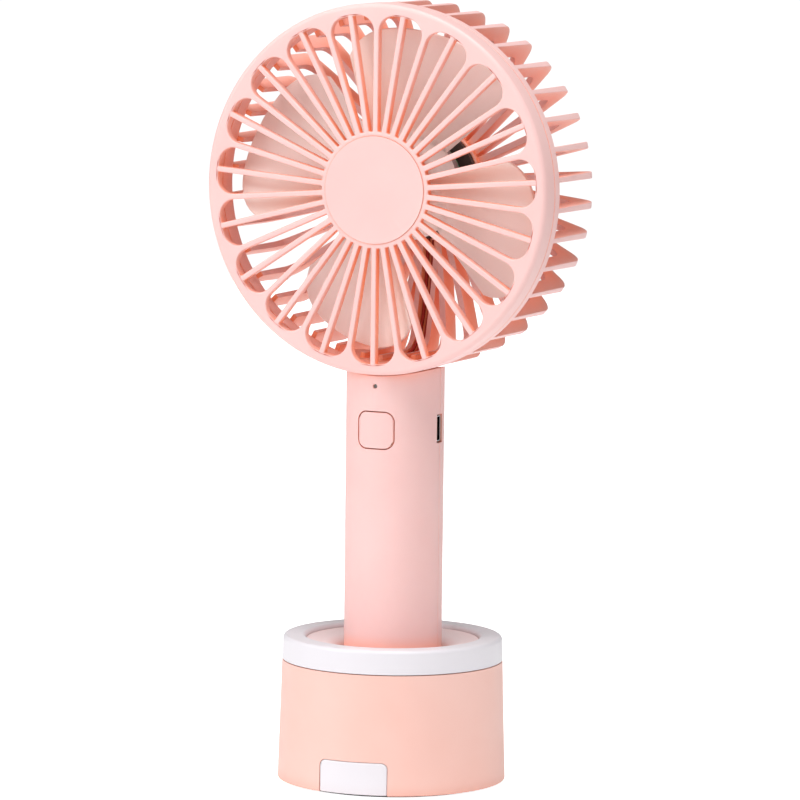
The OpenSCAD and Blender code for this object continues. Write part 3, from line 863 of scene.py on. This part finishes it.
def make_neck():
    """Saddle that closes the handle's top, with a tongue that reaches down into the handle."""
    saddle = on_head(turned("saddle", [
        (fin_root_r + 1.6 * mm, rim_y - 1 * mm, 0), (fin_r - 0.15 * mm, rim_y - 1 * mm, 0),
        (fin_r - 0.15 * mm, 39 * mm, 0), (fin_root_r + 1.6 * mm, 39 * mm, 0)], ring=True))
    carve(saddle, rod("handle_room", handle_r, *neck_reach, 96), "INTERSECT")
    tongue = block("tongue", (-7.5 * mm, 3 * mm, 111.5 * mm), (7.5 * mm, 15 * mm, 122.5 * mm))
    carve(tongue, rod("handle_bore", handle_r - 1.75 * mm, *neck_reach, 96), "INTERSECT")
    return carve(saddle, tongue, "UNION")


def make_rear_grille():
    rim = turned("rear_grille_moulding", [
        (rim_in, ring_front - 2.7 * mm, 0), (lip_out, ring_front - 2.7 * mm, 0.2 * mm),
        (lip_out, ring_front, 0), (head_r, ring_front, 0.3 * mm), (head_r, rim_y, 0.5 * mm),
        (rim_in, rim_y, 0.3 * mm)], ring=True)
    hub = turned("rear_hub", [
        (0, hub_back_y, 0), (hub_r, hub_back_y, 0.9 * mm), (hub_r, motor_seat_y, 0.3 * mm),
        (hub_bore_r, motor_seat_y, 0.2 * mm), (hub_bore_r, hub_back_y - hub_floor, 0),
        (0, hub_back_y - hub_floor, 0)])
    body = joined([rim, hub], "rear_grille_moulding")
    turns = [math.pi / 2 + pitch * k for k in range(1, slots)]
    carve(body, ring_of(make_fin(), turns, "fins"), "UNION")
    carve(body, make_wire_strut(), "UNION")
    for turn in motor_screw_turns:
        pilot = rod("pilot_hole", 0.8 * mm, motor_seat_y - 1 * mm, motor_seat_y + 5 * mm, 24)
        carve(body, moved(pilot, (motor_screw_r * math.cos(turn), motor_screw_r * math.sin(turn), 0)))
    slot_front = dome(hub_r) - fin_deep - 3 * mm
    carve(body, block("wire_slot", (-groove_w / 2, 8 * mm, slot_front),
                      (groove_w / 2, 17.6 * mm, slot_front + 2.9 * mm + groove_deep)))
    on_head(body)
    carve(body, make_neck(), "UNION")
    channel = groove_w / 2 + 0.1 * mm
    carve(body, block("wire_channel", (-channel, 5.2 * mm, 105 * mm), (channel, 9 * mm, 125.5 * mm)))
    carve(body, block("wire_mouth", (-channel, 5.6 * mm, 121.6 * mm), (channel, 12.8 * mm, 125.7 * mm)))
    pilot = rod("neck_pilot", 0.85 * mm, 8 * mm, 18 * mm, 36)
    pilot.rotation_euler.x = -math.pi / 2
    pilot.location.z = neck_screw_z
    carve(body, settle(pilot))
    return shade(body)


stand_for(make_rear_grille(), "rear_grille")


# ------------------------------------------------------------------ impeller

blades = 4
blade_r = 46.5 * mm
blade_arc = math.radians(66)
blade_corner = 7 * mm
blade_t = 1.15 * mm
blade_root_r = 15.2 * mm
impeller_hub_r = 16 * mm
hub_len = impeller_high.y - impeller_low.y
magnet_seat_r = 13.6 * mm
hub_mouth_r = 14.03 * mm
blade_inset = 0.2 * mm


def make_blade():
    """A line from root to tip is extruded back and turned step by step into a broad helical blade."""
    rows = 30
    length = hub_len - 0.6 * mm
    spots = [Vector((blade_root_r + (blade_r - blade_root_r) * k / 8, 0, blade_inset)) for k in range(9)]
    blade = chain("blade", spots)
    bpy.ops.mesh.select_all(action="SELECT")
    for _ in range(rows):
        bpy.ops.mesh.extrude_edges_move(TRANSFORM_OT_translate={"value": (0, 0, length / rows)})
        bpy.ops.transform.rotate(value=-blade_arc / rows, orient_axis="Z", center_override=(0, 0, 0))
    for row in range(rows + 1):
        level = blade_inset + length * row / rows
        turn = blade_arc * row / rows
        root = (blade_root_r * math.cos(turn), blade_root_r * math.sin(turn), level)
        reach = blade_r - blade_corner * abs(2 * row / rows - 1) ** 5
        share = (reach - blade_root_r) / (blade_r - blade_root_r)
        choose(blade, "verts", lambda vert: abs(vert.co.z - level) < 0.05 * mm)
        bpy.ops.transform.resize(value=(share, share, 1), center_override=root)
    bpy.ops.mesh.select_all(action="SELECT")
    bpy.ops.mesh.normals_make_consistent(inside=False)
    close_edit()
    bpy.ops.object.modifier_add(type="SOLIDIFY")
    blade.modifiers[-1].thickness = blade_t
    blade.modifiers[-1].offset = 0
    bpy.ops.object.modifier_apply(modifier=blade.modifiers[-1].name)
    return soften(blade, 0.4 * mm, segments=3, sharp=55)


def make_impeller():
    hub = turned("impeller_moulding", [
        (0, 0, 0), (impeller_hub_r, 0, 1.2 * mm), (impeller_hub_r, hub_len, 0.3 * mm),
        (hub_mouth_r, hub_len, 0), (hub_mouth_r, 13.4 * mm, 0), (magnet_seat_r, 13.4 * mm, 0),
        (magnet_seat_r, 1.8 * mm, 0), (3 * mm, 1.8 * mm, 0), (3 * mm, 12.4 * mm, 0.2 * mm),
        (1.02 * mm, 12.4 * mm, 0), (1.02 * mm, 1.3 * mm, 0), (0, 1.3 * mm, 0)], steps=144)
    turns = [math.radians(165) + math.tau * k / blades for k in range(blades)]
    carve(hub, ring_of(make_blade(), turns, "blades"), "UNION")
    return on_head(shade(hub), impeller_low.y)


stand_for(make_impeller(), "impeller")


# ------------------------------------------------------------------ handle

for node, piece_name, width in (
        ("handle_front_shell", "handle_front_moulding", 0.16 * mm),
        ("handle_rear_shell", "handle_rear_moulding", 0.16 * mm),
        ("power_button", "power_button_cap", 0.22 * mm),
        ("usb_socket", "charging_socket_shell", 0.1 * mm)):
    stand_for(softened(node, piece_name, width), node)


def make_bottom_cap():
    plug_r = handle_r - 1.7 * mm
    plug_in = 10.4 * mm
    shelf = cap_low.z + 2 * mm
    cap = turned("handle_end_cap", [
        (0, cap_low.z, 0), (handle_r, cap_low.z, 0.9 * mm), (handle_r, shelf, 0.15 * mm),
        (plug_r, shelf, 0), (plug_r, cap_high.z, 0.3 * mm), (plug_in, cap_high.z, 0.2 * mm),
        (plug_in, shelf, 0), (0, shelf, 0)], steps=144)
    return shade(cap)


stand_for(make_bottom_cap(), "handle_bottom_cap")


# ------------------------------------------------------------------ screws

def make_screw(head_radius, head_height, shank_radius, length):
    """Self-tapping screw about Z, its head's face at 0: domed head, cross recess, ringed thread."""
    thread = 0.8 * mm
    outline = [(0, 0, 0), (head_radius, 0, head_height * 0.45), (head_radius, head_height, 0),
               (shank_radius * 0.8, head_height, 0)]
    level = head_height + thread / 2
    while level < length - 1.6 * mm:
        outline += [(shank_radius * 0.8, level, 0), (shank_radius, level + 0.3 * thread, 0),
                    (shank_radius * 0.8, level + 0.6 * thread, 0)]
        level += thread
    outline += [(shank_radius * 0.7, length - 1 * mm, 0), (0, length, 0)]
    screw = turned("screw", outline, steps=36)
    arm = head_radius * 0.55
    slot = 0.22 * mm
    deep = head_height * 0.6
    carve(screw, block("cross_a", (-arm, -slot, -deep), (arm, slot, deep)))
    carve(screw, block("cross_b", (-slot, -arm, -deep), (slot, arm, deep)))
    return shade(screw)


base_turn = math.radians(4.4)
boss_ring = 28.2 * mm
handle_screw_z = 84 * mm
boss_turns = [math.radians(a) + base_turn for a in (90, 210, 330)]


def make_base_screws():
    screw = moved(make_screw(2.1 * mm, 1 * mm, 0.98 * mm, 9.5 * mm), (boss_ring, 0, pad_high.z + 0.1 * mm))
    return ring_of(screw, boss_turns, "base_screw_set")


def make_motor_screws():
    screw = moved(make_screw(1.7 * mm, 1.05 * mm, 0.78 * mm, 6.5 * mm), (motor_screw_r, 0, 0))
    screws = ring_of(screw, motor_screw_turns, "motor_screw_set")
    return on_head(screws, motor_seat_y - 3.1 * mm)


def make_handle_screws():
    screws = []
    for height, length in ((handle_screw_z, 14.7 * mm), (neck_screw_z, 4.3 * mm)):
        screw = make_screw(1.9 * mm, 0.7 * mm, 0.83 * mm, length)
        screw.rotation_euler.x = math.pi / 2
        screw.location = (0, handle_r - 0.15 * mm, height)
        screws.append(settle(screw))
    return joined(screws, "handle_screw_set")


stand_for(make_base_screws(), "base_screws")
stand_for(make_motor_screws(), "motor_screws")
stand_for(make_handle_screws(), "handle_screws")


# ------------------------------------------------------------------ base

base_bottom_r = 33.3 * mm
base_top_r = 32 * mm
ring_h = 7 * mm
ring_in = 25.3 * mm
sleeve_wall = 2.2 * mm
socket_r = handle_r + 0.35 * mm
tab_w = 20.6 * mm
tab_h = 9.4 * mm
tab_wall = 2.18 * mm
floor_t = 1.6 * mm


def base_r(height):
    return base_bottom_r - (base_bottom_r - base_top_r) * height / base_h


def tab_slab(name, width, height, bottom):
    """The tab's outline, extruded through the sleeve's front wall."""
    corner = 1.8 * mm
    outline = rounded([(-width / 2, 0, 0), (width / 2, 0, 0), (width / 2, height, corner),
                       (-width / 2, height, corner)])
    prism = slab(name, outline, 15 * mm, upright=True)
    prism = moved(prism, (0, -32.5 * mm, bottom))
    prism.rotation_euler.z = base_turn
    return settle(prism)


def make_sleeve():
    low, high = sleeve_low.z, sleeve_high.z
    sleeve = turned("sleeve_moulding", [
        (base_r(low) - sleeve_wall, low, 0), (base_r(low), low, 0.35 * mm), (base_r(14 * mm), 14 * mm, 0),
        (base_r(high), high, 0.12 * mm), (base_r(high) - sleeve_wall, high, 0.2 * mm)], ring=True)
    boss = moved(rod("boss", 2.6 * mm, 3.6 * mm, 15.6 * mm), (boss_ring, 0, 0))
    carve(sleeve, ring_of(boss, boss_turns, "bosses"), "UNION")
    pilot = moved(rod("pilot", 1 * mm, 3 * mm, 13 * mm, 24), (boss_ring, 0, 0))
    carve(sleeve, ring_of(pilot, boss_turns, "pilots"))
    carve(sleeve, tab_slab("tab_notch", tab_w + 0.2 * mm, tab_h + 0.2 * mm, low - 0.02 * mm))
    return soften(sleeve, 0.15 * mm, segments=2)


def make_trim_ring():
    r_low = base_r(base_h - ring_h)
    skirt_out = base_r(sleeve_high.z) - sleeve_wall - 0.1 * mm
    skirt_in = 27.4 * mm
    shelf_in = 23.6 * mm
    ring = turned("trim_ring_moulding", [
        (ring_in, base_h, 1.2 * mm), (base_top_r, base_h, 1.2 * mm), (r_low, base_h - ring_h, 0.12 * mm),
        (skirt_out, base_h - ring_h, 0), (skirt_out, ring_low.z, 0.2 * mm), (skirt_in, ring_low.z, 0.2 * mm),
        (skirt_in, base_h - ring_h, 0), (ring_in, base_h - ring_h, 0), (ring_in, base_h - 5 * mm, 0),
        (shelf_in, base_h - 5 * mm, 0), (shelf_in, base_h - 3.1 * mm, 0), (ring_in, base_h - 3.1 * mm, 0)],
        ring=True)
    return shade(ring)


def make_cup():
    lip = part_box("base_cup")[1].z
    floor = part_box("base_cup")[0].z
    outer = socket_r + 1.6 * mm
    rim = ring_in - 0.15 * mm
    roll = arc(Vector((20.4 * mm, lip - 6.6 * mm)), 5.75 * mm, math.radians(84), math.pi, 12)
    cup = turned("dished_cup", [
        (0, floor, 0), (outer, floor, 0.6 * mm), (outer, lip - 6.2 * mm, 0),
        (20.5 * mm, lip - 1.7 * mm, 0), (rim, lip - 1.7 * mm, 0.2 * mm), (rim, lip, 0.2 * mm)]
        + [(p.x, p.y, 0) for p in roll]
        + [(socket_r, floor + floor_t, 0.6 * mm), (0, floor + floor_t, 0)])
    return shade(cup)


def make_tab():
    reach = base_r(sleeve_low.z) - 0.12 * mm
    tab = tab_slab("tab_panel", tab_w, tab_h, tab_low.z)
    shell = turned("tab_room", [(reach - tab_wall, 0, 0), (reach, 0, 0), (reach, 20 * mm, 0),
                                (reach - tab_wall, 20 * mm, 0)], ring=True)
    carve(tab, shell, "INTERSECT")
    return soften(tab, 0.45 * mm, segments=4)


def make_bottom_plate():
    radius = plate_high.x
    low, high = plate_low.z, plate_high.z
    plate = turned("bottom_plate_moulding", [
        (0, low, 0), (radius, low, 0.4 * mm), (radius, high, 0.4 * mm), (0, high, 0)])
    hole = moved(rod("screw_hole", 1.4 * mm, 0, 5 * mm, 36), (boss_ring, 0, 0))
    carve(plate, ring_of(hole, boss_turns, "screw_holes"))
    sink = moved(rod("head_sink", 2.3 * mm, 0, low + 1.2 * mm, 36), (boss_ring, 0, 0))
    carve(plate, ring_of(sink, boss_turns, "head_sinks"))
    return soften(plate, 0.12 * mm, segments=2)


def make_foot_pad():
    radius = pad_high.x
    pad = turned("foam_foot_pad", [
        (0, 0, 0), (radius, 0, 0.35 * mm), (radius, pad_high.z, 0.25 * mm), (0, pad_high.z, 0)])
    return shade(pad)


stand_for(make_sleeve(), "base_sleeve")
stand_for(make_trim_ring(), "base_trim_ring")
stand_for(make_cup(), "base_cup")
stand_for(make_tab(), "base_front_tab")
stand_for(make_bottom_plate(), "base_bottom_plate")
stand_for(make_foot_pad(), "foot_pad")


# ------------------------------------------------------------------ studio

camera_place = (661.7 * mm, -1443.2 * mm, 291.4 * mm)
camera_aim = (1.45 * mm, 0, 111.72 * mm)
camera_roll = 0.01169
camera_lens = 247.3
world_light, world_seen = 0.37, 1.05
floor_light, floor_seen = 0.2, 0.9
light_aim = (0, 0, 0.13)


def aimed(obj, place, aim, roll=0.0):
    """Puts a camera or light at a place, looking at a point."""
    place = Vector(place)
    turn = (Vector(aim) - place).to_track_quat("-Z", "Y").to_matrix().to_4x4()
    obj.matrix_world = Matrix.Translation(place) @ turn @ Matrix.Rotation(roll, 4, "Z")


def make_camera():
    camera = bpy.data.objects.new("camera", bpy.data.cameras.new("camera"))
    bpy.context.scene.collection.objects.link(camera)
    camera.data.sensor_width = 36
    camera.data.lens = camera_lens
    camera.data.clip_end = 20
    aimed(camera, camera_place, camera_aim, camera_roll)
    bpy.context.scene.camera = camera


def make_softbox(name, place, side, power):
    """A square area light that points at the middle of the fan."""
    light = bpy.data.objects.new(name, bpy.data.lights.new(name, "AREA"))
    bpy.context.scene.collection.objects.link(light)
    light.data.shape = "RECTANGLE"
    light.data.size = light.data.size_y = side
    light.data.energy = power
    aimed(light, place, light_aim)


def make_floor():
    """Pale floor that glows to the camera, so that only a faint contact shadow shows."""
    deselect()
    bpy.ops.mesh.primitive_circle_add(vertices=96, radius=1.6, fill_type="NGON")
    floor = named("pale_floor")
    material, tree, shader = new_material("pale_floor", Specular_IOR_Level=0.0)
    seen = tree.nodes.new("ShaderNodeLightPath").outputs["Is Camera Ray"]
    tree.links.new(ranged(tree, seen, 0.0, 1.0, floor_light, floor_seen), shader.inputs["Emission Strength"])
    place = tree.nodes.new("ShaderNodeTexCoord").outputs["Object"]
    mottled = blended(tree, noise(tree, place, 3.0), (0.9, 0.9, 0.9, 1), (0.94, 0.94, 0.94, 1))
    tree.links.new(mottled, shader.inputs["Base Color"])
    shader.inputs["Emission Color"].default_value = (1, 1, 1, 1)
    shader.inputs["Roughness"].default_value = 0.9
    floor.data.materials.append(material)


def make_world():
    """White surroundings: full white behind the object, softer as light on it."""
    world = bpy.data.worlds.new("white_studio")
    bpy.context.scene.world = world
    world.use_nodes = True
    tree = world.node_tree
    background = tree.nodes["Background"]
    background.inputs["Color"].default_value = (1.0, 1.0, 1.0, 1)
    seen = tree.nodes.new("ShaderNodeLightPath").outputs["Is Camera Ray"]
    strength = ranged(tree, seen, 0.0, 1.0, world_light, world_seen)
    tree.links.new(strength, background.inputs["Strength"])


make_camera()
make_world()
make_floor()
make_softbox("key_softbox", (-0.94, -1.08, 0.75), 0.8, 8.9)
make_softbox("front_fill", (0.9, -1.6, 0.5), 1.2, 0.4)
make_softbox("overhead_softbox", (0.2, -0.27, 1.22), 0.8, 11.0)
bpy.context.scene.view_settings.view_transform = "Standard"
